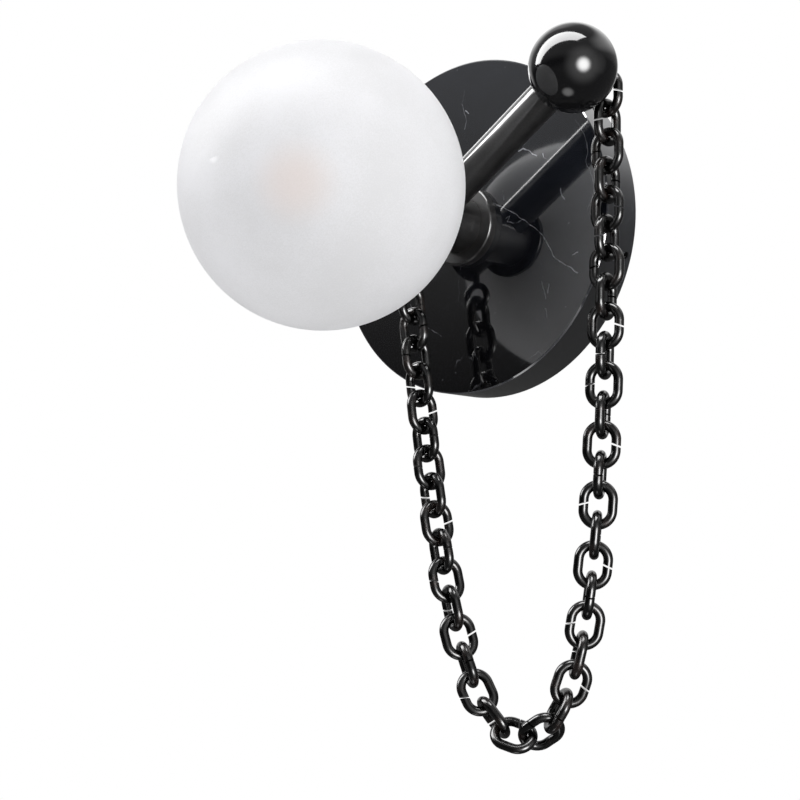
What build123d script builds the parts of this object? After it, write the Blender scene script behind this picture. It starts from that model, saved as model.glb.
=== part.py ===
from build123d import *
import math
import os

# Wall sconce: a round polished marble plate carries a hub on its centre line. An arm crosses
# the hub and ends in a ball. A chain hangs in a long loop from both ends of the arm, and an
# opal glass globe screws onto a seat in front of the hub.
#
# Millimetres. The wall is the plane Y = 0 and the lamp stands out from it along -Y. Z is up.
# The origin is where the hub's centre line meets the wall. "Out" is a distance from the wall.

# ---- marble plate and the steel pan that it hangs on ----
plate_d = 200.0
plate_t = 30.0
plate_arris = 0.8
plate_wall = 15.0           # marble left between the rear recess and the rim
plate_web = 12.0            # marble left between the rear recess and the front face
pan_play = 0.5              # radial, between the pan's rim and the recess
pan_sheet = 2.0
pan_height = 12.0
pan_cable_hole_d = 30.0
slot_spacing = 70.0         # wall screws, centre to centre, along X
slot_w = 5.0
slot_length = 18.0
side_screw_d = 4.0          # grub screws through the plate's rim into the pan's rim
side_screw_play = 0.2
side_screw_out = 6.0
side_screw_drop = 18.0      # degrees below the horizontal, one on each side
side_screw_sunk = 1.0
side_screw_grip = 4.0       # reach inside the pan's rim
side_screw_key = 2.0        # hexagon socket across flats
side_screw_arris = 0.4
earth_screw_d = 4.0
earth_drop = 40.0           # below the centre
earth_length = 9.0
earth_lift = 0.2            # the screw's tip, off the wall
earth_head_d = 8.0
earth_head_t = 2.6
earth_head_rim = 1.6        # height of the head's upright rim
earth_slot = (1.0, 1.2)     # width and depth of the cross
block_size = (20.0, 17.0, 10.0)
block_at = (0.0, 45.0)
block_corner = 1.5
block_wire_hole_d = 3.4
block_screw_d = 3.6
block_screw_play = 0.1
block_screw_t = 2.4
block_screw_slot = (0.8, 0.5)
block_screw_seat = 0.4      # the screw's end, above the wire hole
block_pitch = 9.0
cut_past = 2.0              # how far a cut runs on past what it cuts

# ---- threaded nipple that clamps the stack together ----
nipple_d = 10.0
nipple_bore_d = 7.0
nipple_play = 0.15          # radial, to every bore that it passes
thread_play = 0.02          # radial, between a screw and what it screws into
nipple_tail = 5.0           # reach behind the rear nut
nut_flats = 17.0
nut_t = 4.0
nut_face = 0.3              # the turned face's radius over half the flats
nut_corner = 1.6            # the corners' radius over half the flats
nut_arris = 0.8
nipple_arris = 0.6
washer_d = 26.0
washer_t = 1.5

# ---- hub ----
flange_d = 48.0
flange_t = 6.0
flange_round = 1.2
hub_d = 34.0
hub_wall = 2.5              # metal left in front of the arm
gasket_d = 40.0
gasket_t = 1.0
gasket_play = 0.2

# ---- arm and ball ----
arm_d = 20.0
arm_sheet = 1.5
arm_play = 0.05             # radial, in the hub's cross bore and the ball's socket
arm_standoff = 32.0         # arm's centre line, out from the plate's face
arm_rise = 31.2             # degrees above the horizontal, towards +X
arm_tail = 31.0             # hub's centre line to the arm's lower end
cap_dome = 3.0
cap_rim = 0.8
cap_depth = 17.0
cap_play = 0.05
ball_d = 48.0
ball_reach = 119.5          # hub's centre line to the ball's centre
socket_depth = 4.0
plug_depth = 14.0
stud_d = 8.0
stud_bite = 12.0
stud_play = 0.1
stud_arris = 0.8
stud_room = 2.0             # beyond the stud's end
hook_play = 0.05            # radial, round the eye's shank and the staple's legs

# ---- chain ----
wire_d = 5.2
link_length = 26.6          # outside
link_width = 20.7           # outside
link_play = 0.12            # between one link's wire and the next one's
link_seam = 0.9             # the unwelded butt joint in each link's side
seam_slant = 18.0           # degrees
link_count = 40
link_group = 4              # links in each sub-part
loop_turns = ((0.0, 74.5), (0.10, 67.0), (0.21, 60.0), (0.31, 42.0), (0.36, 33.0), (0.49, 60.0),
              (0.54, 62.0), (0.62, 72.0), (0.72, 82.0), (0.79, 90.0), (0.87, 102.0))
                            # share of the loop, and the even links' turn from the loop's plane
seams_swapped = (1, 2, 5, 6, 9, 10, 13, 14, 17, 18, 21, 22, 25, 26, 29, 30, 33, 34, 37, 38)
end_play = 0.4              # between an end link's wire and what it hangs on
hook_wire_d = 4.0
eye_gap = 10.0              # clear width inside the eye's ring
eye_at = 20.0               # hub's centre line to the eye, along the arm
eye_neck = 4.4              # between the arm and the eye's ring
eye_bite = 12.0
staple_gap = 8.4            # clear width inside the staple
staple_stand = 1.6          # link's wire to the ball
staple_bite = 9.0
staple_lift = 7.0           # degrees above the horizontal
staple_outboard = 8.0       # degrees from straight back towards +X
hole_room = 1.0             # beyond the end of the eye's shank and of the staple's legs

# ---- globe, its seat and the lamp inside ----
globe_d = 152.0
globe_wall = 3.0
globe_standoff = 121.6      # globe's centre, out from the plate's face
globe_hole_d = 38.0
glass_play = 0.05           # between the glass and the collar that is bonded to it
seat_d = 47.0
seat_t = 2.2
seat_round = 0.8
spigot_d = 33.0
spigot_length = 10.0
collar_play = 0.3
collar_wall = 1.8
collar_lip_d = 45.0
collar_lip = 1.0
collar_lip_length = 4.0
collar_short = 1.0          # of the spigot's front
holder_d = 22.0
holder_length = 23.0
holder_well = 6.0
holder_play = 1.0
holder_lift = 0.2           # above the seat's nut
holder_thread = 8.0
holder_round = 1.5
holder_mouth = 3.0          # depth of the pocket for the lamp's base
mouth_play = 1.0
lamp_d = 14.0
lamp_length = 32.0
lamp_pinch = (12.0, 5.0, 13.0)
lamp_pinch_round = 1.2
pin_d = 1.2
pin_spacing = 9.0
pin_length = 7.0
pin_play = 0.3

# ---- places worked out from the sizes above ----
plate_r = plate_d / 2
recess_r = plate_r - plate_wall
recess_depth = plate_t - plate_web
pan_r = recess_r - pan_play
nipple_r = nipple_d / 2
passage_r = nipple_r + nipple_play
arm_out = plate_t + arm_standoff
hub_front = arm_out + arm_d / 2 + hub_wall
seat_front = hub_front + seat_t
spigot_front = seat_front + spigot_length
well_floor = spigot_front - holder_well
globe_out = plate_t + globe_standoff
holder_back = well_floor + nut_t + holder_lift
lamp_back = holder_back + holder_length - holder_mouth + pin_play
ball_r = ball_d / 2
wire_r = wire_d / 2
hook_wire_r = hook_wire_d / 2
eye_r = eye_gap / 2 + hook_wire_r
staple_r = staple_gap / 2 + hook_wire_r
bend_r = (link_width - wire_d) / 2
straight_half = (link_length - link_width) / 2
arm_end = ball_reach - math.sqrt(ball_r ** 2 - (arm_d / 2) ** 2) + socket_depth
rise = math.radians(arm_rise)

OUTWARD = Plane(origin=(0, 0, 0), x_dir=(1, 0, 0), z_dir=(0, -1, 0))
UP = Vector(0, 0, 1)


def out(distance, x=0.0, z=0.0):
    """The plane parallel to the wall at a distance out from it."""
    return OUTWARD * Pos(x, z, distance)


def along_arm(reach):
    """The plane across the arm at a distance from the hub's centre line."""
    spot = (reach * math.cos(rise), -arm_out, reach * math.sin(rise))
    return Plane(origin=spot, x_dir=(0, -1, 0), z_dir=(math.cos(rise), 0, math.sin(rise)))


def turned(*outline):
    """A turned piece: its (radius, height) outline swung about the local Z axis."""
    face = make_face(Polyline(*[(r, 0, h) for r, h in outline], close=True))
    return revolve(face, Axis.Z)


def tube(outer_r, inner_r, height):
    return turned((inner_r, 0), (outer_r, 0), (outer_r, height), (inner_r, height))


def rod(radius, height):
    return turned((0, 0), (radius, 0), (radius, height), (0, height))


def half_ring(radius, wire):
    """Round wire bent through half a turn, flat in local XZ, with its ends on Z = 0."""
    return revolve(Pos(radius, 0, 0) * Circle(wire), Axis.Y, -180)


def rim_edges(solid, radius, height):
    """The circular edges of a turned piece at a radius and a height."""
    def on_rim(edge):
        box = edge.bounding_box()
        return (abs(box.max.Z - height) < 1e-3 and abs(box.min.Z - height) < 1e-3
                and abs(box.max.X - radius) < 1e-3)
    return [edge for edge in solid.edges().filter_by(GeomType.CIRCLE) if on_rim(edge)]


def nut(bore_r):
    flat_r = nut_flats / 2
    blank = extrude(RegularPolygon(flat_r, 6, major_radius=False), nut_t)
    corners = turned((0, 0), (flat_r + nut_face, 0), (flat_r + nut_corner, nut_arris),
                     (flat_r + nut_corner, nut_t - nut_arris), (flat_r + nut_face, nut_t), (0, nut_t))
    return (blank & corners) - rod(bore_r, nut_t)


# ---- marble plate ----
def side_screw_planes():
    """Planes on the rim screws' axes, with local Z pointing outwards."""
    for turn in (-side_screw_drop, 180.0 + side_screw_drop):
        a = math.radians(turn)
        yield Plane(origin=(0, -side_screw_out, 0), x_dir=(0, -1, 0),
                    z_dir=(math.cos(a), 0, math.sin(a)))


def make_plate():
    plate = turned((passage_r, recess_depth), (recess_r, recess_depth), (recess_r, 0),
                   (plate_r, 0), (plate_r, plate_t), (passage_r, plate_t))
    plate = chamfer(rim_edges(plate, plate_r, plate_t), plate_arris)
    plate = chamfer(rim_edges(plate, plate_r, 0), plate_arris)
    plate = out(0) * plate
    for axis in side_screw_planes():
        plate -= axis * Pos(0, 0, recess_r - cut_past) * rod(side_screw_d / 2 + side_screw_play,
                                                             plate_wall + 2 * cut_past)
    return plate


def make_pan():
    pan = turned((pan_cable_hole_d / 2, 0), (pan_r, 0), (pan_r, pan_height),
                 (pan_r - pan_sheet, pan_height), (pan_r - pan_sheet, pan_sheet),
                 (pan_cable_hole_d / 2, pan_sheet))
    slot = extrude(SlotOverall(slot_length, slot_w), pan_sheet)
    for side in (-1, 1):
        pan -= Pos(side * slot_spacing / 2, 0, 0) * slot
    pan -= Pos(0, -earth_drop, 0) * rod(earth_screw_d / 2 + thread_play, pan_sheet)
    pan = out(0) * pan
    for axis in side_screw_planes():
        pan -= axis * Pos(0, 0, pan_r - 2 * pan_sheet) * rod(side_screw_d / 2 + thread_play,
                                                             3 * pan_sheet)
    return pan


def make_side_screws():
    inner = pan_r - pan_sheet - side_screw_grip
    length = plate_r - side_screw_sunk - inner
    screw = turned((0, 0), (side_screw_d / 4, 0), (side_screw_d / 2, side_screw_d / 4),
                   (side_screw_d / 2, length - side_screw_arris),
                   (side_screw_d / 2 - side_screw_arris, length), (0, length))
    key = extrude(RegularPolygon(side_screw_key / 2, 6, major_radius=False), side_screw_key)
    screw -= Pos(0, 0, length - side_screw_key) * key
    return [axis * Pos(0, 0, inner) * screw for axis in side_screw_planes()]


# ---- wiring pieces in the recess ----
def make_earth_screw():
    """A pan-head screw with a cross slot, in the pan below its centre."""
    top = earth_length + earth_head_t
    screw = turned((0, 0), (earth_screw_d / 2, 0), (earth_screw_d / 2, earth_length),
                   (earth_head_d / 2, earth_length), (earth_head_d / 2, earth_length + earth_head_rim),
                   (earth_head_d / 2 - earth_head_t + earth_head_rim, top), (0, top))
    for turn in (0, 90):
        screw -= Rot(0, 0, turn) * Pos(0, 0, top) * Box(earth_head_d / 2, earth_slot[0], 2 * earth_slot[1])
    return out(earth_lift, 0, -earth_drop) * screw


def block_lanes():
    """Each of the block's two wire lanes with the two places of its screws."""
    for side in (-1, 1):
        lane = Pos(side * block_pitch / 2, 0, 0)
        yield lane, [lane * Pos(0, end * block_size[1] / 4, 0) for end in (-1, 1)]


def on_pan_block(shape):
    return out(pan_sheet + block_size[2] / 2, *block_at) * shape


def make_terminal_block():
    w, d, h = block_size
    block = fillet(Box(w, d, h).edges().filter_by(Axis.Z), block_corner)
    for lane, spots in block_lanes():
        block -= lane * Rot(90, 0, 0) * Cylinder(block_wire_hole_d / 2, d)
        for spot in spots:
            block -= spot * Pos(0, 0, h / 4) * Cylinder(block_screw_d / 2, h / 2)
    return on_pan_block(block)


def make_terminal_screws():
    width, depth = block_screw_slot
    head = rod(block_screw_d / 2 - block_screw_play, block_screw_t)
    head -= Pos(0, 0, block_screw_t) * Box(block_screw_d, width, 2 * depth)
    lift = Pos(0, 0, block_wire_hole_d / 2 + block_screw_seat)
    return [on_pan_block(spot * lift * head) for _, spots in block_lanes() for spot in spots]


# ---- clamping stack ----
def make_nipple():
    start = recess_depth - washer_t - nut_t - nipple_tail
    length = well_floor + nut_t + holder_thread - start
    body = tube(nipple_r, nipple_bore_d / 2, length)
    body = chamfer(rim_edges(body, nipple_r, 0) + rim_edges(body, nipple_r, length), nipple_arris)
    return out(start) * body


def make_hub_flange():
    pocket_r = gasket_d / 2 + gasket_play
    flange = turned((passage_r, gasket_t), (pocket_r, gasket_t), (pocket_r, 0), (flange_d / 2, 0),
                    (flange_d / 2, flange_t), (passage_r, flange_t))
    return out(plate_t) * fillet(rim_edges(flange, flange_d / 2, flange_t), flange_round)


def make_hub_body():
    base = plate_t + flange_t
    body = out(base) * tube(hub_d / 2, passage_r, hub_front - base)
    return body - along_arm(-hub_d) * rod(arm_d / 2 + arm_play, 2 * hub_d)


# ---- arm ----
def ball_centre():
    return along_arm(ball_reach).origin


def eye_centre():
    """The ring hangs plumb below the arm's lower end."""
    drop = arm_d / 2 / math.cos(rise) + eye_neck + hook_wire_r + eye_r
    return along_arm(-eye_at).origin - UP * drop


def staple_plane():
    """Behind the ball: local Z points into it, local Y along the last link's wire."""
    lift, swing = math.radians(staple_lift), math.radians(staple_outboard)
    away = Vector(math.cos(lift) * math.sin(swing), math.cos(lift) * math.cos(swing), math.sin(lift))
    level = Vector(math.cos(swing), -math.sin(swing), 0)
    spot = ball_centre() + away * (ball_r + staple_stand + wire_r)
    return Plane(origin=spot, x_dir=level.cross(away), z_dir=away * -1)


def ring_plane(link_side):
    """The eye's ring lies in local XZ, square to a link's wire."""
    level = Vector(link_side.X, link_side.Y, 0).normalized()
    return Plane(origin=eye_centre(), x_dir=level.cross(UP), z_dir=UP)


def make_eye(link_side):
    ring = Rot(90, 0, 0) * Torus(eye_r, hook_wire_r)
    shank = Pos(0, 0, eye_r) * rod(hook_wire_r, hook_wire_r + eye_neck + eye_bite)
    return ring_plane(link_side) * (ring + shank)


def eye_hole():
    start = eye_centre() + UP * (eye_r + hook_wire_r)
    return Pos(*start) * rod(hook_wire_r + hook_play, eye_neck + eye_bite + hole_room)


def make_staple():
    """A round wire bow with two straight legs into the ball."""
    leg = rod(hook_wire_r, staple_stand + wire_r + staple_bite)
    staple = Rot(180, 0, 0) * half_ring(staple_r, hook_wire_r)
    for side in (-1, 1):
        staple += Pos(side * staple_r, 0, 0) * leg
    return staple_plane() * staple


def staple_holes():
    leg = rod(hook_wire_r + hook_play, staple_stand + wire_r + staple_bite + hole_room)
    return [staple_plane() * Pos(side * staple_r, 0, 0) * leg for side in (-1, 1)]


def make_arm():
    arm = along_arm(-arm_tail) * tube(arm_d / 2, arm_d / 2 - arm_sheet, arm_end + arm_tail)
    arm -= out(plate_t) * rod(passage_r, 2 * arm_out)
    return arm - eye_hole()


def make_arm_cap():
    spigot = arm_d / 2 - arm_sheet - cap_play
    cap = turned((0, 0), (spigot, 0), (spigot, cap_depth), (arm_d / 2, cap_depth),
                 (arm_d / 2, cap_depth + cap_rim), (0, cap_depth + cap_rim))
    swell_r = ((arm_d / 2) ** 2 + cap_dome ** 2) / (2 * cap_dome)
    dome = Pos(0, 0, cap_depth + cap_rim + cap_dome - swell_r) * Sphere(swell_r)
    dome &= Pos(0, 0, cap_depth + cap_rim) * rod(arm_d / 2, 2 * cap_dome)
    cap = along_arm(-arm_tail + cap_depth) * Rot(180, 0, 0) * (cap + dome)
    return cap - eye_hole()


def make_arm_plug():
    plug = tube(arm_d / 2 - arm_sheet - cap_play, stud_d / 2 + stud_play, plug_depth)
    return along_arm(arm_end - plug_depth) * plug


def make_ball_stud():
    length = 2 * stud_bite
    stud = chamfer(rod(stud_d / 2, length).edges().filter_by(GeomType.CIRCLE), stud_arris)
    return along_arm(arm_end - stud_bite) * stud


def make_ball():
    ball = Pos(*ball_centre()) * Sphere(ball_r)
    ball -= along_arm(ball_reach - 2 * ball_r) * rod(arm_d / 2 + arm_play,
                                                     arm_end - ball_reach + 2 * ball_r)
    ball -= along_arm(arm_end) * rod(stud_d / 2 + stud_play, stud_bite + stud_room)
    for hole in staple_holes():
        ball -= hole
    return ball


# ---- chain ----
def make_link():
    """One round-wire link, long way along local Z, flat in local XZ, with a slanted butt joint at +X."""
    link = Pos(0, 0, straight_half) * half_ring(bend_r, wire_r)
    link += Rot(0, 180, 0) * link
    for side in (-1, 1):
        link += Pos(side * bend_r, 0, -straight_half) * rod(wire_r, 2 * straight_half)
    return link - Pos(bend_r, 0, 0) * Rot(0, seam_slant, 0) * Box(2 * wire_d, 2 * wire_d, link_seam)


def bearing(bend_plane, pull):
    """Unit direction from a bend's centre to its wire where a pull bears on it."""
    across, along = bend_plane.x_dir, bend_plane.z_dir
    return (across * pull.dot(across) + along * pull.dot(along)).normalized()


def roll_of(number, heading):
    """A link's turn about its own length, in degrees from the plane of the loop.

    Every other link lies across its neighbours. The last one lies square to the staple.
    """
    last = link_count - 1
    settled = math.degrees(heading) + staple_outboard + (90.0 if last % 2 else 180.0)
    knots = list(loop_turns) + [(1.0, settled)]
    share = number / last
    for (start, turn), (end, next_turn) in zip(knots, knots[1:]):
        if share <= end:
            blend = (share - start) / (end - start)
            return turn + (next_turn - turn) * blend + 90.0 * (number % 2)


def hang(level_pull, lift, heading):
    """Planes of the links, hung from the eye, and the spot where the staple's bow belongs.

    Each link weighs 1. The level pull is the same all along the loop, and the lift grows by 1
    at each link, so the links lie on a catenary. A link's plane has its length along local Z
    and its width along local X.
    """
    ahead = Vector(math.cos(heading), math.sin(heading), 0)
    sideways = UP.cross(ahead)

    def pull(links):
        return (ahead * level_pull + UP * (lift + links)).normalized()

    def axes(number):
        along = pull(number + 0.5)
        roll = math.radians(roll_of(number, heading))
        side = along.cross(sideways) * math.cos(roll) + sideways * math.sin(roll)
        return Plane(origin=(0, 0, 0), x_dir=side, z_dir=along)

    ring = ring_plane(axes(0).x_dir)
    wire_at = ring.origin + bearing(ring, pull(0)) * eye_r
    apart = hook_wire_r + wire_r + end_play
    planes = []
    for number in range(link_count):
        link = axes(number)
        near_wire = wire_at - pull(number) * apart
        centre = near_wire + bearing(link, pull(number)) * bend_r + link.z_dir * straight_half
        planes.append(Plane(origin=centre, x_dir=link.x_dir, z_dir=link.z_dir))
        wire_at = centre + link.z_dir * straight_half + bearing(link, pull(number + 1)) * bend_r
        apart = wire_d + link_play
    last = pull(link_count)
    bow_wire = wire_at - last * (hook_wire_r + wire_r + end_play)
    return planes, bow_wire + bearing(staple_plane(), last) * staple_r


def settle():
    """The loop's own pull and heading, found by stepping until its end meets the staple."""
    target = staple_plane().origin
    span = target - eye_centre()
    guess = [1.2, -0.43 * link_count, math.atan2(span.Y, span.X)]
    step = 1e-4
    for _ in range(25):
        planes, end = hang(*guess)
        miss = end - target
        if miss.length < 1e-7:
            break
        slopes = []
        for k in range(3):
            nudged = list(guess)
            nudged[k] += step
            slopes.append((hang(*nudged)[1] - end) * (1 / step))
        a, b, c = slopes
        volume = a.dot(b.cross(c))
        change = (miss.dot(b.cross(c)), miss.dot(c.cross(a)), miss.dot(a.cross(b)))
        guess = [value - part / volume for value, part in zip(guess, change)]
    print("loop: pull", [round(value, 4) for value in guess], "miss", round(miss.length, 7))
    return planes


def make_chain(planes):
    """Groups of neighbouring links, each link with its butt joint turned its own way."""
    link = make_link()
    groups = {}
    for first in range(0, link_count, link_group):
        members = []
        for number in range(first, min(first + link_group, link_count)):
            flip = 180 if number in seams_swapped else 0
            members.append(planes[number] * Rot(0, 0, flip) * link)
        groups["chain_links_%02d" % (first // link_group + 1)] = members
    return groups


# ---- globe and lamp ----
def make_seat():
    seat = turned((passage_r, 0), (seat_d / 2, 0), (seat_d / 2, seat_t), (spigot_d / 2, seat_t),
                  (spigot_d / 2, seat_t + spigot_length),
                  (holder_d / 2 + holder_play, seat_t + spigot_length),
                  (holder_d / 2 + holder_play, well_floor - hub_front),
                  (passage_r, well_floor - hub_front))
    seat = fillet(rim_edges(seat, seat_d / 2, 0), seat_round)
    return out(hub_front) * seat


def globe_skin(radius, at_r):
    """How far out the globe's surface of that radius lies, at a radius from its axis."""
    return globe_out - math.sqrt(radius ** 2 - at_r ** 2)


def make_globe():
    outer_r, inner_r, hole_r = globe_d / 2, globe_d / 2 - globe_wall, globe_hole_d / 2
    shell = Sphere(outer_r) - Sphere(inner_r)
    shell -= Pos(0, 0, -outer_r) * Cylinder(hole_r, outer_r)
    return out(globe_out) * shell


def make_collar():
    inner = spigot_d / 2 + collar_play
    outer = inner + collar_wall
    lip_back = globe_skin(globe_d / 2, globe_hole_d / 2) - collar_lip
    collar = tube(outer, inner, spigot_front - collar_short - lip_back)
    collar += tube(collar_lip_d / 2, inner, collar_lip_length)
    glass = Sphere(globe_d / 2 + glass_play) - Pos(0, 0, -globe_d / 2) * Cylinder(outer, globe_d / 2)
    return out(lip_back) * collar - out(globe_out) * glass


def make_holder():
    """A ceramic holder screwed on the nipple, with a pocket and two pin holes in its front."""
    mouth_floor = holder_length - holder_mouth
    body = turned((passage_r, 0), (holder_d / 2, 0), (holder_d / 2, holder_length),
                  (0, holder_length), (0, holder_thread), (passage_r, holder_thread))
    body = fillet(rim_edges(body, holder_d / 2, holder_length), holder_round)
    body -= Pos(0, 0, holder_length) * Box(lamp_pinch[0] + 2 * mouth_play,
                                           lamp_pinch[1] + 2 * mouth_play, 2 * holder_mouth)
    for side in (-1, 1):
        hole = rod(pin_d / 2 + pin_play, pin_length + cut_past)
        body -= Pos(side * pin_spacing / 2, 0, mouth_floor - pin_length - pin_play) * hole
    return out(holder_back) * body


def make_lamp_base():
    w, d, h = lamp_pinch
    base = fillet(Box(w, d, h).edges().filter_by(Axis.Z), lamp_pinch_round)
    return out(lamp_back + h / 2) * base


def make_lamp_pins():
    pin = rod(pin_d / 2, pin_length)
    return [out(lamp_back - pin_length, side * pin_spacing / 2) * pin for side in (-1, 1)]


def make_lamp_bulb():
    r = lamp_d / 2
    bulb = rod(r, lamp_length - r) + Pos(0, 0, lamp_length - r) * Sphere(r)
    return out(lamp_back + lamp_pinch[2]) * bulb


def save(name, shape):
    solids = list(shape) if isinstance(shape, (list, tuple)) else [shape]
    piece = solids[0] if len(solids) == 1 else Compound(children=solids)
    piece.label = name
    export_step(piece, "parts/" + name + ".step")


def main():
    os.makedirs("parts", exist_ok=True)
    loop = settle()
    rear_nut_out = recess_depth - washer_t - nut_t
    pieces = {
        "wall_pan": make_pan(),
        "earth_screw": make_earth_screw(),
        "terminal_block": make_terminal_block(),
        "terminal_screws": make_terminal_screws(),
        "marble_plate": make_plate(),
        "side_grub_screws": make_side_screws(),
        "threaded_nipple": make_nipple(),
        "rear_washer": out(recess_depth - washer_t) * tube(washer_d / 2, passage_r, washer_t),
        "rear_nut": out(rear_nut_out) * nut(nipple_r + thread_play),
        "hub_gasket": out(plate_t) * tube(gasket_d / 2, passage_r, gasket_t),
        "hub_flange": make_hub_flange(),
        "hub_body": make_hub_body(),
        "arm_tube": make_arm(),
        "arm_end_cap": make_arm_cap(),
        "arm_plug": make_arm_plug(),
        "ball_stud": make_ball_stud(),
        "end_ball": make_ball(),
        "arm_eye": make_eye(loop[0].x_dir),
        "ball_staple": make_staple(),
        "globe_seat": make_seat(),
        "seat_nut": out(well_floor) * nut(nipple_r + thread_play),
        "lamp_holder": make_holder(),
        "lamp_base": make_lamp_base(),
        "lamp_pins": make_lamp_pins(),
        "lamp_bulb": make_lamp_bulb(),
        "globe_collar": make_collar(),
        "globe_glass": make_globe(),
    }
    pieces.update(make_chain(loop))
    for name, shape in pieces.items():
        save(name, shape)


main()
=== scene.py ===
import math

import bpy
from mathutils import Matrix, Vector

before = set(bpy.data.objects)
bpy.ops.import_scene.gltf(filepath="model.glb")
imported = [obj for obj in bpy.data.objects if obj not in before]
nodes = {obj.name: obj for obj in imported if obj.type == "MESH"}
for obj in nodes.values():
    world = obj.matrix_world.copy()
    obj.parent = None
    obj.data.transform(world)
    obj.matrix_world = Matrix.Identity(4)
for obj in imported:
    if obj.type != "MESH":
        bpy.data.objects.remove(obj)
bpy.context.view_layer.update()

# Sizes in metres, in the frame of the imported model: the wall is y = 0, and the lamp stands out
# to -y with +z up.
MM = 0.001
PLATE_FRONT = -0.030
GLOBE_CENTRE = (0.0, -0.1516, 0.0)
GLOBE_RADIUS = 0.076
# The globe's warm tinge is painted light: where the lamp inside shows through the glass, on the side
# facing the camera.
GLOBE_SHOW_THROUGH_SIDE = (0.54, -0.807, -0.239)        # the way from its centre to its warm tinge
LAMP_MIDDLE = (0.0, -0.15, 0.0)

# The photograph's camera, found from the outlines of plate, globe, ball, tube and chain.
PICTURE_PX = 800
FOCAL_PX = 1400
CAMERA_YAW, CAMERA_PITCH, CAMERA_ROLL = -40.75, 7.50, -1.75     # degrees
PLATE_DISTANCE = 0.8333
PLATE_PIXEL = (464.5, 226.6)        # where the middle of the plate's face is in the picture
SENSOR_MM = 36

# Settings that many nodes share. A Mix node of colours takes its factor and its two colours at
# inputs 0, 6 and 7, and gives the mixed colour at output 2.
SMOOTH = {"interpolation_type": "SMOOTHSTEP"}
COLOURS = {"data_type": "RGBA"}


# ---------------------------------------------------------------- colour and node helpers

def hex_colour(code):
    """A #rrggbb screen colour as the linear colour that a shader takes."""
    parts = [int(code[i:i + 2], 16) / 255 for i in (1, 3, 5)]
    return tuple(v / 12.92 if v <= 0.04045 else ((v + 0.055) / 1.055) ** 2.4 for v in parts) + (1.0,)


WHITE = hex_colour("#ffffff")


def per_metre(millimetres):
    """The Scale of a noise whose blotches are this far apart."""
    return 1.0 / (millimetres * MM)


def add(tree, kind, sockets=(), **settings):
    """Add a shader node. sockets gives its first inputs in order, or some by name or number. Each
    is a value, another node's output, or another node, which stands for its first output."""
    made = tree.nodes.new("ShaderNode" + kind)
    for name, value in settings.items():
        setattr(made, name, value)
    for name, value in sockets.items() if isinstance(sockets, dict) else enumerate(sockets):
        if isinstance(value, bpy.types.Node):
            value = value.outputs[0]
        if isinstance(value, bpy.types.NodeSocket):
            tree.links.new(value, made.inputs[name])
        else:
            made.inputs[name].default_value = value
    return made


def new_material(name, **constants):
    """A new material, its tree and its Principled shader, which is set to these constants."""
    material = bpy.data.materials.new(name)
    material.use_nodes = True
    tree = material.node_tree
    tree.nodes.clear()
    shader = add(tree, "BsdfPrincipled")
    for socket, value in constants.items():
        shader.inputs[socket.replace("_", " ")].default_value = value
    add(tree, "OutputMaterial", (shader,))
    return material, tree, shader


def wire_up(tree, shader, colour, roughness, height=None, strength=0.0, depth_mm=0.0):
    """Give a shader its colour, its roughness, and a bump this many millimetres deep."""
    tree.links.new(colour, shader.inputs["Base Color"])
    tree.links.new(roughness.outputs[0], shader.inputs["Roughness"])
    if height is not None:
        bump = add(tree, "Bump", {"Height": height, "Strength": strength, "Distance": depth_mm * MM})
        tree.links.new(bump.outputs[0], shader.inputs["Normal"])


def finish_node(node, material):
    """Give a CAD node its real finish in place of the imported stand-in."""
    node.data.materials.clear()
    node.data.materials.append(material)


# ---------------------------------------------------------------- camera

def photo_camera():
    """Place the camera by its turn and by where the middle of the plate's face is in the picture."""
    yaw, pitch, roll = (math.radians(turn) for turn in (CAMERA_YAW, CAMERA_PITCH, CAMERA_ROLL))
    ahead = Vector((math.sin(yaw) * math.cos(pitch), math.cos(yaw) * math.cos(pitch), math.sin(pitch)))
    level = Vector((math.cos(yaw), -math.sin(yaw), 0))
    upright = level.cross(ahead)
    right = math.cos(roll) * level + math.sin(roll) * upright
    up = math.cos(roll) * upright - math.sin(roll) * level
    across, down = ((pixel - PICTURE_PX / 2) / FOCAL_PX for pixel in PLATE_PIXEL)
    place = Vector((0, PLATE_FRONT, 0)) - PLATE_DISTANCE * (ahead + across * right - down * up)
    data = bpy.data.cameras.new("photo_camera")
    data.sensor_width = SENSOR_MM
    data.lens = FOCAL_PX / PICTURE_PX * SENSOR_MM
    camera = bpy.data.objects.new("photo_camera", data)
    turn = Matrix((right, up, -ahead)).transposed()
    camera.matrix_world = Matrix.Translation(place) @ turn.to_4x4()
    bpy.context.collection.objects.link(camera)
    bpy.context.scene.camera = camera


photo_camera()


# ---------------------------------------------------------------- studio

# What gloss sees round the lamp, in place of the white background, which would turn black gloss
# grey. Each patch is the product of smooth steps along an axis of the direction looked in: the
# axis, where the step starts and ends, and its brightness there, 0 and 1 if not given. The
# brightest patch shows.
BEHIND = ("y", -0.30, 0.50)
GLOSS_PATCHES = (
    (("z", 0.08, 0.42, 0.015, 0.34),),                              # the dark room's ceiling
    (("z", 0.05, -0.25, 0.0, 0.12),),                               # its floor
    (("z", -0.50, -0.10, 0.0, 0.11), BEHIND),                       # the wall behind
    (("z", 0.30, 0.62, 0.0, 1.7), ("z", 0.92, 0.70), BEHIND),       # the wall, high up
    (("x", 0.70, 0.95, 0.0, 0.50), ("z", -0.60, -0.20), BEHIND),    # the wall, far right
    (("x", 0.05, -0.35), ("z", -0.12, 0.12), ("y", -0.02, 0.22)),   # the wall, at the left
)
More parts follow.
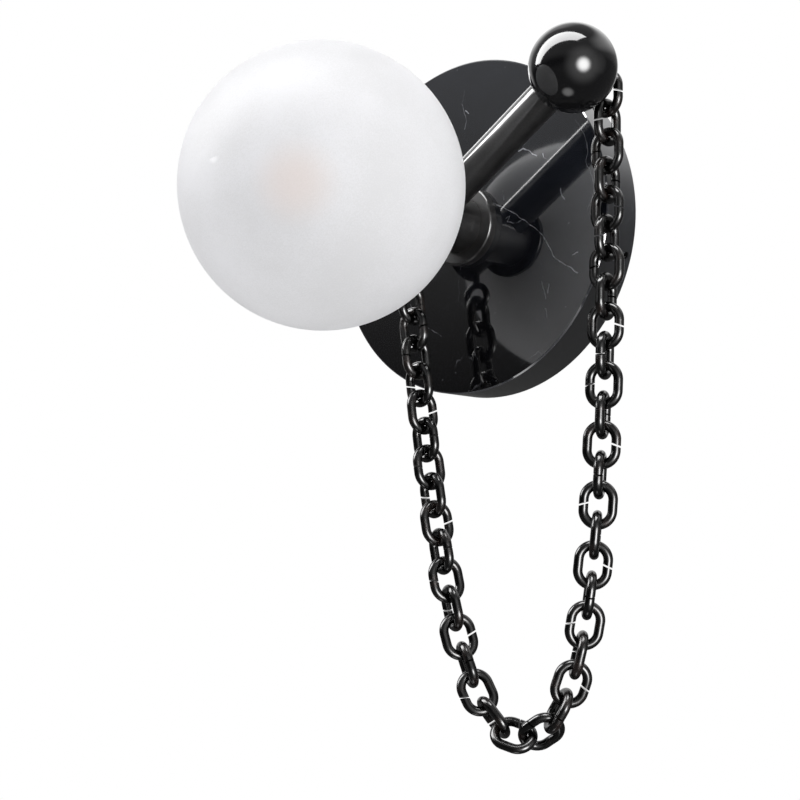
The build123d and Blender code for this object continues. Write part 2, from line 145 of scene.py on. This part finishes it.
# Round lamps that only gloss sees, added to the patches: the way to them, the cosine at their
# edge, how fast they fall off to it, and their brightness. They are an umbrella in front at the
# right, its wide skirt, and a lamp below.
UMBRELLA = (0.828, -0.452, -0.187)
GLOSS_LAMPS = (
    (UMBRELLA, 0.885, 3.2, 26.0),
    (UMBRELLA, 0.500, 1.5, 1.3),
    ((-0.129, -0.214, -0.968), 0.962, 1.2, 3.0),
)
# What rough surfaces are lit by: a little more from below, and less from the wall's side.
SOFT_BY_HEIGHT = (-0.9, 0.9, 0.83, 0.73)
SOFT_BY_DEPTH = (0.1, 0.9, 1.0, 0.80)

# Lamps: name, place, width in metres, watts.
SOFT_LAMPS = (
    ("key_lamp", (-0.52, -1.00, 1.20), 1.0, 3.5),
    ("side_lamp", (1.32, 0.00, 0.50), 0.8, 5.2),
)
# The panel over the lamp, whose corners are (x, y).
PANEL_HEIGHT = 1.06
PANEL_CORNERS = ((-3.55, -2.56), (0.75, -0.60), (-3.50, -1.10), (0.75, -0.06))
PANEL_STRENGTH = 17.0

# The round floor: how far it is under the lamp's middle, its width, and how far from its own
# middle it starts to fade and is plain white.
FLOOR_DROP = 1.00
FLOOR_SIZE = 3.2
FLOOR_SIDES = 96
FLOOR_FADE = (0.25 * FLOOR_SIZE, 0.49 * FLOOR_SIZE)


def studio_world():
    """White for the camera and through glass, even soft light for rough surfaces, and for gloss a
    dark room with a pale wall and lamps."""
    world = bpy.data.worlds.new("white_studio")
    bpy.context.scene.world = world
    world.use_nodes = True
    tree = world.node_tree
    tree.nodes.clear()
    path = add(tree, "LightPath").outputs
    way = add(tree, "TexCoord").outputs["Generated"]
    axes = dict(zip("xyz", add(tree, "SeparateXYZ", (way,)).outputs))
    brightness = None
    for patch in GLOSS_PATCHES:
        steps = [add(tree, "MapRange", (axes[axis], *span), **SMOOTH) for axis, *span in patch]
        shown = steps[0]
        for step in steps[1:]:
            shown = add(tree, "Math", (shown, step), operation="MULTIPLY")
        if brightness is None:
            brightness = shown
        else:
            brightness = add(tree, "Math", (brightness, shown), operation="MAXIMUM")
    for aim, edge, falloff, level in GLOSS_LAMPS:
        facing = add(tree, "VectorMath", (way, Vector(aim).normalized()), operation="DOT_PRODUCT")
        disc = add(tree, "MapRange", (facing.outputs["Value"], edge, 1.0), **SMOOTH)
        glow = add(tree, "Math", (disc, falloff), operation="POWER")
        brightness = add(tree, "Math", (glow, level, brightness), operation="MULTIPLY_ADD")
    by_height = add(tree, "MapRange", (axes["z"], *SOFT_BY_HEIGHT), **SMOOTH)
    by_depth = add(tree, "MapRange", (axes["y"], *SOFT_BY_DEPTH), **SMOOTH)
    ambient = add(tree, "Math", (by_height, by_depth), operation="MULTIPLY")
    soft = add(tree, "Background", (hex_colour("#fbfbff"), ambient))
    gloss = add(tree, "Background", (WHITE, brightness))
    white = add(tree, "Background", (WHITE, 1.0))
    lit = add(tree, "MixShader", (path["Is Glossy Ray"], soft, gloss))
    seen = add(tree, "Math", (path["Is Camera Ray"], path["Is Transmission Ray"]), operation="MAXIMUM")
    add(tree, "OutputWorld", (add(tree, "MixShader", (seen, lit, white)),))


def soft_lamp(name, place, size, watts):
    """A square soft lamp, aimed at the wall light, that does not itself show in the gloss."""
    data = bpy.data.lights.new(name, "AREA")
    data.shape = "SQUARE"
    data.size = size
    data.energy = watts
    lamp = bpy.data.objects.new(name, data)
    turn = (Vector(LAMP_MIDDLE) - Vector(place)).to_track_quat("-Z", "Y").to_matrix()
    lamp.matrix_world = Matrix.Translation(place) @ turn.to_4x4()
    lamp.visible_glossy = False
    bpy.context.collection.objects.link(lamp)


def overhead_panel():
    """The long white panel over the lamp, seen only in its gloss: it widens to the left."""
    bpy.ops.object.select_all(action="DESELECT")
    bpy.ops.mesh.primitive_plane_add(size=2, location=(0, 0, 0))
    panel = bpy.context.active_object
    panel.name = "overhead_panel"
    for vertex, (x, y) in zip(panel.data.vertices, PANEL_CORNERS):
        vertex.co = (x, y, PANEL_HEIGHT)
    material = bpy.data.materials.new("lit_panel")
    material.use_nodes = True
    tree = material.node_tree
    tree.nodes.clear()
    add(tree, "OutputMaterial", (add(tree, "Emission", (WHITE, PANEL_STRENGTH)),))
    panel.data.materials.append(material)
    panel.visible_camera = False
    panel.visible_diffuse = False
    panel.visible_transmission = False
    panel.visible_shadow = False


def pale_floor():
    """A pale painted floor that takes the lamp's shadow, fades to the white background, and does
    not show in the gloss."""
    bpy.ops.object.select_all(action="DESELECT")
    bpy.ops.mesh.primitive_circle_add(vertices=FLOOR_SIDES, radius=FLOOR_SIZE / 2, fill_type="NGON",
                                      location=(0, 0, -FLOOR_DROP))
    floor = bpy.context.active_object
    floor.name = "floor"
    material, tree, shader = new_material("pale_floor_paint", Base_Color=hex_colour("#f4f4f3"),
                                          Roughness=0.9)
    path = add(tree, "LightPath").outputs
    place = add(tree, "NewGeometry").outputs["Position"]
    flat = add(tree, "VectorMath", (place, (1, 1, 0)), operation="MULTIPLY")
    reach = add(tree, "VectorMath", (flat,), operation="LENGTH").outputs["Value"]
    fade = add(tree, "MapRange", (reach, *FLOOR_FADE), **SMOOTH)
    fade = add(tree, "Math", (fade, path["Is Camera Ray"]), operation="MULTIPLY")
    white = add(tree, "Emission", (WHITE, 1.0))
    mixed = add(tree, "MixShader", (fade, shader, white))
    tree.links.new(mixed.outputs[0], tree.nodes["Material Output"].inputs["Surface"])
    floor.data.materials.append(material)
    floor.visible_glossy = False


studio_world()
for lamp_facts in SOFT_LAMPS:
    soft_lamp(*lamp_facts)
overhead_panel()
pale_floor()
bpy.context.scene.view_settings.view_transform = "Standard"


# ---------------------------------------------------------------- finishes

# Calcite veins of the plate's face: how white each is (over 1 it stays white where it is broken),
# and its (x, z) in millimetres from the plate's centre.
FACE_VEINS = (
    (0.42, ((21.8, 10.1), (33.7, 3.0), (39.5, -1.5), (51.8, -11.4), (55.5, -16.1), (60.9, -24.5),
            (63.4, -30.6), (77.8, -41.2))),
    (0.32, ((30.5, -1.3), (33.6, 0.1), (31.4, -3.2), (38.3, -5.4), (41.3, -4.3))),
    (0.30, ((29.3, 15.7), (29.9, 10.5))),
    (0.50, ((69.4, 9.0), (69.2, 6.1), (71.8, 1.8))),
    (0.60, ((75.8, -30.6), (78.8, -29.4))),
    (2.60, ((41.4, 36.5), (45.2, 37.4), (49.3, 35.1), (54.0, 31.1))),
    (2.20, ((58.0, 31.1), (59.1, 29.0), (60.8, 27.9))),
    (0.35, ((3.7, 82.3), (1.7, 76.3), (4.4, 64.2), (2.6, 59.5))),
    (1.00, ((4.2, 70.8), (6.2, 68.1))),
    (0.22, ((53.4, -42.5), (54.6, -46.0), (56.3, -52.2))),
    (0.18, ((58.6, -44.3), (57.4, -49.5))),
    (0.40, ((-72.0, 31.0), (-58.0, 22.0), (-49.0, 8.0), (-31.0, -2.0))),
    (0.30, ((-44.0, -40.0), (-38.0, -52.0), (-21.0, -63.0))),
)
VEIN_EDGE, VEIN_CORE = 0.42 * MM, 0.10 * MM     # from a vein's middle to where it ends and is full


def vein_field(tree, place):
    """How white a spot of the plate is from its veins, each a chain of straight runs about half a
    millimetre wide."""
    whitest = None
    for strength, vein in FACE_VEINS:
        nearest = None
        for (ax, az), (bx, bz) in zip(vein, vein[1:]):
            start = Vector((ax * MM, 0, az * MM))
            run = Vector((bx * MM, 0, bz * MM)) - start
            away = add(tree, "VectorMath", (place, start), operation="SUBTRACT")
            share = add(tree, "VectorMath", (away, run / run.length_squared), operation="DOT_PRODUCT")
            share = add(tree, "Clamp", (share.outputs["Value"],))
            foot = add(tree, "VectorMath", {0: run, "Scale": share}, operation="SCALE")
            gap = add(tree, "VectorMath", (away, foot), operation="DISTANCE").outputs["Value"]
            if nearest is None:
                nearest = gap
            else:
                nearest = add(tree, "Math", (nearest, gap), operation="MINIMUM")
        line = add(tree, "MapRange", (nearest, VEIN_EDGE, VEIN_CORE, 0.0, strength), **SMOOTH)
        if whitest is None:
            whitest = line
        else:
            whitest = add(tree, "Math", (whitest, line), operation="MAXIMUM")
    return whitest


def polished_black_marble():
    """Black marble, sawn, its rim honed and its face polished: near black with grey clouds,
    hair-fine broken white calcite veins and pin-prick flecks under a mirror polish, with painted
    shade that darkens it towards the lower left and a painted highlight along the arris. Its
    IOR is matched to the strong reflections in the photo, where stone has about 1.6."""
    material, tree, shader = new_material("polished_black_marble", IOR=2.0)
    place = add(tree, "TexCoord").outputs["Object"]
    depth = add(tree, "SeparateXYZ", (place,)).outputs["Y"]
    clouds = add(tree, "TexNoise", {"Vector": place, "Scale": per_metre(55), "Detail": 6.0,
                                    "Roughness": 0.62, "Distortion": 0.8})
    # Painted shade: the slab is drawn paler towards its upper right and darker towards its lower left,
    # where shade falls on the plate.
    painted_shade_drift = add(tree, "VectorMath", (place, (2.2, 0.0, 4.2)), operation="DOT_PRODUCT")
    tone = add(tree, "Math", (clouds, painted_shade_drift.outputs["Value"]), operation="ADD")
    tone = add(tree, "MapRange", (tone, 0.20, 1.05), **SMOOTH)
    stone = add(tree, "Mix", {0: tone, 6: hex_colour("#0b0b0d"), 7: hex_colour("#1f2229")}, **COLOURS)
    # Veins wander about 0.6 mm to each side, and break where the calcite thins.
    wander = add(tree, "TexNoise", {"Vector": place, "Scale": per_metre(5), "Detail": 3.0})
    wander = add(tree, "VectorMath", (wander.outputs["Color"], (0.5, 0.5, 0.5)), operation="SUBTRACT")
    wander = add(tree, "VectorMath", (wander, (2.6 * MM, 0, 2.6 * MM)), operation="MULTIPLY")
    flat = add(tree, "VectorMath", (place, (1, 0, 1)), operation="MULTIPLY")
    flat = add(tree, "VectorMath", (flat, wander), operation="ADD")
    broken = add(tree, "TexNoise", {"Vector": place, "Scale": per_metre(3.5), "Detail": 4.0})
    broken = add(tree, "MapRange", (broken, 0.36, 0.60, 0.15, 1.0), **SMOOTH)
    vein = add(tree, "Math", (vein_field(tree, flat), broken), operation="MULTIPLY")
    # A faint web of cracks through the whole stone, 60 mm apart, seen only in places.
    bent = add(tree, "TexNoise", {"Vector": place, "Scale": per_metre(24), "Detail": 4.0})
    bent = add(tree, "VectorMath", {0: bent.outputs["Color"], "Scale": 22 * MM}, operation="SCALE")
    bent = add(tree, "VectorMath", (place, bent), operation="ADD")
    web = add(tree, "TexVoronoi", {"Vector": bent, "Scale": per_metre(60)}, feature="DISTANCE_TO_EDGE")
    web = add(tree, "MapRange", (web.outputs["Distance"], 0.0075, 0.0015), **SMOOTH)
    web_shows = add(tree, "MapRange", (clouds, 0.50, 0.72, 0.0, 0.45), **SMOOTH)
    web = add(tree, "Math", (web, web_shows), operation="MULTIPLY")
    # Flecks of calcite, about 0.4 mm across and 5 mm apart, most of them left out.
    fleck = add(tree, "TexVoronoi", {"Vector": place, "Scale": per_metre(5)})
    kept = add(tree, "SeparateColor", (fleck.outputs["Color"],))
    kept = add(tree, "Math", (kept, 0.62), operation="GREATER_THAN")
    flecks = add(tree, "MapRange", (fleck.outputs["Distance"], 0.055, 0.025), **SMOOTH)
    flecks = add(tree, "Math", (flecks, kept), operation="MULTIPLY")
    flecks = add(tree, "Math", (flecks, 0.6), operation="MULTIPLY")
    white = add(tree, "Math", (vein, web), operation="MAXIMUM")
    white = add(tree, "Math", (white, flecks), operation="MAXIMUM")
    colour = add(tree, "Mix", {0: white, 6: stone.outputs[2], 7: hex_colour("#b4b6bb")}, **COLOURS)
    # The honed rim and the sawn back are of a more even grey and duller than the polished face.
    honed = add(tree, "MapRange", (depth, PLATE_FRONT + 0.5 * MM, PLATE_FRONT + 1.0 * MM), **SMOOTH)
    evened = add(tree, "Math", (honed, 0.5), operation="MULTIPLY")
    colour = add(tree, "Mix", {0: evened, 6: colour.outputs[2], 7: hex_colour("#17181a")}, **COLOURS)
    # Painted highlight: the arris between face and rim is drawn paler, as a thin line of light along
    # the edge.
    painted_arris_highlight = add(tree, "MapRange", (depth, PLATE_FRONT + 0.03 * MM, PLATE_FRONT + 0.2 * MM), **SMOOTH)
    inner = add(tree, "MapRange", (depth, PLATE_FRONT + 1.0 * MM, PLATE_FRONT + 0.8 * MM), **SMOOTH)
    painted_arris_highlight = add(tree, "Math", (painted_arris_highlight, inner), operation="MULTIPLY")
    painted_arris_highlight = add(tree, "Math", (painted_arris_highlight, 0.8), operation="MULTIPLY")
    colour = add(tree, "Mix", {0: painted_arris_highlight, 6: colour.outputs[2], 7: hex_colour("#4b4c50")}, **COLOURS)
    haze = add(tree, "MapRange", (clouds, 0.35, 0.75, 0.03, 0.08), **SMOOTH)
    dull = add(tree, "Math", (honed, 0.30), operation="MULTIPLY")
    rough = add(tree, "Math", (haze, dull), operation="ADD")
    # Honing grit, drawn coarser than the real one so that it shows.
    grit = add(tree, "TexNoise", {"Vector": place, "Scale": per_metre(0.7), "Detail": 2.0})
    scored = add(tree, "Math", (honed, 0.25), operation="MULTIPLY")
    wire_up(tree, shader, colour.outputs[2], rough, grit, scored, 0.05)
    return material


def satin_black_lacquer():
    """Steel tube and turned steel in satin black lacquer with a thin clear coat: charcoal, with a
    soft sheen along it, crisp lines at its edges, and a fine sprayed grain."""
    material, tree, shader = new_material("satin_black_lacquer", Coat_Weight=1.0, Coat_IOR=1.5,
                                          Coat_Roughness=0.035, IOR=1.5, Specular_IOR_Level=0.22)
    place = add(tree, "TexCoord").outputs["Object"]
    # The orange peel of a spray, drawn coarser than the real one so that it shows.
    spray = add(tree, "TexNoise", {"Vector": place, "Scale": per_metre(0.9), "Detail": 3.0})
    pool = add(tree, "TexNoise", {"Vector": place, "Scale": per_metre(14), "Detail": 3.0})
    tone = add(tree, "Math", (pool, 0.5), operation="MULTIPLY")
    tone = add(tree, "Math", (spray, 0.5, tone), operation="MULTIPLY_ADD")
    tone = add(tree, "MapRange", (tone, 0.35, 0.65), **SMOOTH)
    colour = add(tree, "Mix", {0: tone, 6: hex_colour("#141313"), 7: hex_colour("#212020")}, **COLOURS)
    rough = add(tree, "MapRange", (pool, 0.3, 0.7, 0.38, 0.48), **SMOOTH)
    wire_up(tree, shader, colour.outputs[2], rough, spray, 0.06, 0.05)
    return material


def gloss_black_lacquer():
    """The ball in polished black lacquer: ink black with clear reflections, fine dust under the
    lacquer and the faintest ripple of sprayed paint."""
    material, tree, shader = new_material("gloss_black_lacquer", IOR=1.46)
    place = add(tree, "TexCoord").outputs["Object"]
    ripple = add(tree, "TexNoise", {"Vector": place, "Scale": per_metre(2.2), "Detail": 2.0})
    dust = add(tree, "TexVoronoi", {"Vector": place, "Scale": per_metre(1.6)}).outputs["Distance"]
    dust = add(tree, "MapRange", (dust, 0.16, 0.05, 0.0, 0.5), **SMOOTH)
    colour = add(tree, "Mix", {0: dust, 6: hex_colour("#111112"), 7: hex_colour("#2a2a2b")}, **COLOURS)
    rough = add(tree, "MapRange", (ripple, 0.3, 0.7, 0.06, 0.10), **SMOOTH)
    wire_up(tree, shader, colour.outputs[2], rough, ripple, 0.04, 0.04)
    return material


def blackened_chain_wire():
    """Drawn steel wire, bent, blackened and waxed: ink black with a narrow wet shine, brown in
    rubbed patches, and the shallow dents of the bending tools."""
    material, tree, shader = new_material("blackened_waxed_wire", IOR=1.5)
    place = add(tree, "TexCoord").outputs["Object"]
    dents = add(tree, "TexNoise", {"Vector": place, "Scale": per_metre(4.5), "Detail": 2.0})
    rub = add(tree, "TexNoise", {"Vector": place, "Scale": per_metre(9), "Detail": 4.0})
    worn = add(tree, "MapRange", (rub, 0.50, 0.72), **SMOOTH)
    colour = add(tree, "Mix", {0: worn, 6: hex_colour("#050505"), 7: hex_colour("#1d1512")}, **COLOURS)
    rough = add(tree, "MapRange", (rub, 0.35, 0.70, 0.13, 0.26), **SMOOTH)
    wire_up(tree, shader, colour.outputs[2], rough, dents, 0.22, 0.12)
    return material


def satin_opal_glass():
    """Blown opal glass, acid-etched outside: milk white and dull, with a fine etched grain, a wide
    soft sheen and a warm tinge where the photo has one, which is painted light where the lamp
    inside shows through the glass."""
    material, tree, shader = new_material("etched_opal_glass", IOR=1.45, Specular_IOR_Level=0.18)
    place = add(tree, "TexCoord").outputs["Object"]
    # The etched grain, drawn coarser than the real one so that it shows.
    grain = add(tree, "TexNoise", {"Vector": place, "Scale": per_metre(0.8), "Detail": 3.0,
                                   "Roughness": 0.7})
    cloud = add(tree, "TexNoise", {"Vector": place, "Scale": per_metre(38), "Detail": 3.0})
    tone = add(tree, "Math", (cloud, 0.45), operation="MULTIPLY")
    tone = add(tree, "Math", (grain, 0.55, tone), operation="MULTIPLY_ADD")
    tone = add(tree, "MapRange", (tone, 0.36, 0.64), **SMOOTH)
    glass = add(tree, "Mix", {0: tone, 6: hex_colour("#ededec"), 7: hex_colour("#f6f6f6")}, **COLOURS)
    # Painted light: a warm tinge on the globe's side facing the camera, where the lamp inside shows
    # through the glass.
    show_through_spot = Vector(GLOBE_CENTRE) + GLOBE_RADIUS * Vector(GLOBE_SHOW_THROUGH_SIDE).normalized()
    away = add(tree, "VectorMath", (place, show_through_spot), operation="DISTANCE").outputs["Value"]
    painted_show_through = add(tree, "MapRange", (away, 26 * MM, 3 * MM, 0.0, 0.55), **SMOOTH)
    glass = add(tree, "Mix", {0: painted_show_through, 6: glass.outputs[2], 7: hex_colour("#f3e4da")}, **COLOURS)
    rough = add(tree, "MapRange", (grain, 0.3, 0.7, 0.52, 0.62), **SMOOTH)
    wire_up(tree, shader, glass.outputs[2], rough, grain, 0.12, 0.06)
    return material


def zinc_plated_steel():
    """Pressed and turned steel, bright zinc plated: cool silver with faint straw and blue stains
    and rolling marks."""
    material, tree, shader = new_material("bright_zinc_plate", Metallic=1.0)
    place = add(tree, "TexCoord").outputs["Object"]
    stain = add(tree, "TexNoise", {"Vector": place, "Scale": per_metre(12), "Detail": 4.0,
                                   "Distortion": 0.6})
    drawn = add(tree, "Mapping", {"Vector": place, "Scale": (1.0, 1.0, 14.0)})
    marks = add(tree, "TexNoise", {"Vector": drawn, "Scale": per_metre(9), "Detail": 5.0})
    tone = add(tree, "MapRange", (stain, 0.35, 0.68), **SMOOTH)
    colour = add(tree, "Mix", {0: tone, 6: hex_colour("#aeb4bb"), 7: hex_colour("#c6c1b0")}, **COLOURS)
    rough = add(tree, "MapRange", (marks, 0.3, 0.7, 0.26, 0.44), **SMOOTH)
    wire_up(tree, shader, colour.outputs[2], rough, marks, 0.10, 0.05)
    return material


def turned_brass():
    """A brass screw: warm yellow, with fine turning marks in its shine and brown tarnish."""
    material, tree, shader = new_material("turned_brass", Metallic=1.0)
    place = add(tree, "TexCoord").outputs["Object"]
    # The turning marks, drawn coarser than the real ones so that they show.
    marks = add(tree, "TexNoise", {"Vector": place, "Scale": per_metre(0.5), "Detail": 2.0})
    tarnish = add(tree, "TexNoise", {"Vector": place, "Scale": per_metre(3), "Detail": 3.0})
    tone = add(tree, "MapRange", (tarnish, 0.42, 0.70), **SMOOTH)
    colour = add(tree, "Mix", {0: tone, 6: hex_colour("#d2ad62"), 7: hex_colour("#8c6a35")}, **COLOURS)
    rough = add(tree, "MapRange", (marks, 0.3, 0.7, 0.22, 0.36), **SMOOTH)
    wire_up(tree, shader, colour.outputs[2], rough)
    return material


def moulded(name, pale, deep, grain_mm, roughness, strength, **constants):
    """A moulded, pressed or fired material: two near tones in blotches nine grains wide, a surface
    grain and its bump."""
    material, tree, shader = new_material(name, **constants)
    place = add(tree, "TexCoord").outputs["Object"]
    blotch = add(tree, "TexNoise", {"Vector": place, "Scale": per_metre(9 * grain_mm), "Detail": 3.0})
    grain = add(tree, "TexNoise", {"Vector": place, "Scale": per_metre(grain_mm), "Detail": 3.0,
                                   "Roughness": 0.6})
    tone = add(tree, "MapRange", (blotch, 0.34, 0.68), **SMOOTH)
    colour = add(tree, "Mix", {0: tone, 6: hex_colour(pale), 7: hex_colour(deep)}, **COLOURS)
    rough = add(tree, "MapRange", (grain, 0.3, 0.7, roughness - 0.05, roughness + 0.07), **SMOOTH)
    wire_up(tree, shader, colour.outputs[2], rough, grain, strength, 0.08)
    return material


by_slot = {
    "black_marble": polished_black_marble(),
    "black_gloss": satin_black_lacquer(),
    "black_steel": blackened_chain_wire(),
    "opal_glass": satin_opal_glass(),
    "zinc_steel": zinc_plated_steel(),
    "brass": turned_brass(),
    # Injection-moulded nylon: warm white, slightly waxy, with a spark-eroded mould grain.
    "nylon": moulded("moulded_white_nylon", "#e9e7e0", "#dedbd1", 0.5, 0.48, 0.15, IOR=1.53),
    # Pressed black vulcanised fibre: charcoal with a felted grain and no shine.
    "fibre": moulded("pressed_black_fibre", "#1b1b1b", "#292827", 0.35, 0.82, 0.35),
    # Glazed porcelain: warm white under a clear, faintly uneven glaze.
    "porcelain": moulded("glazed_porcelain", "#f0efea", "#e6e4de", 1.4, 0.12, 0.05, Coat_Weight=0.5),
    # Steatite ceramic, fired bare: cream and chalky.
    "lamp_ceramic": moulded("bare_steatite", "#ece8de", "#dfd9cb", 0.4, 0.66, 0.20),
    # Frosted glass of the small lamp: cloudy white.
    "lamp_glass": moulded("frosted_lamp_glass", "#f3f1ec", "#eae8e2", 0.3, 0.42, 0.10, IOR=1.5),
}
for node in nodes.values():
    slot = node.data.materials[0].name.split(".")[0]
    finish_node(node, by_slot[slot])
finish_node(nodes["end_ball"], gloss_black_lacquer())
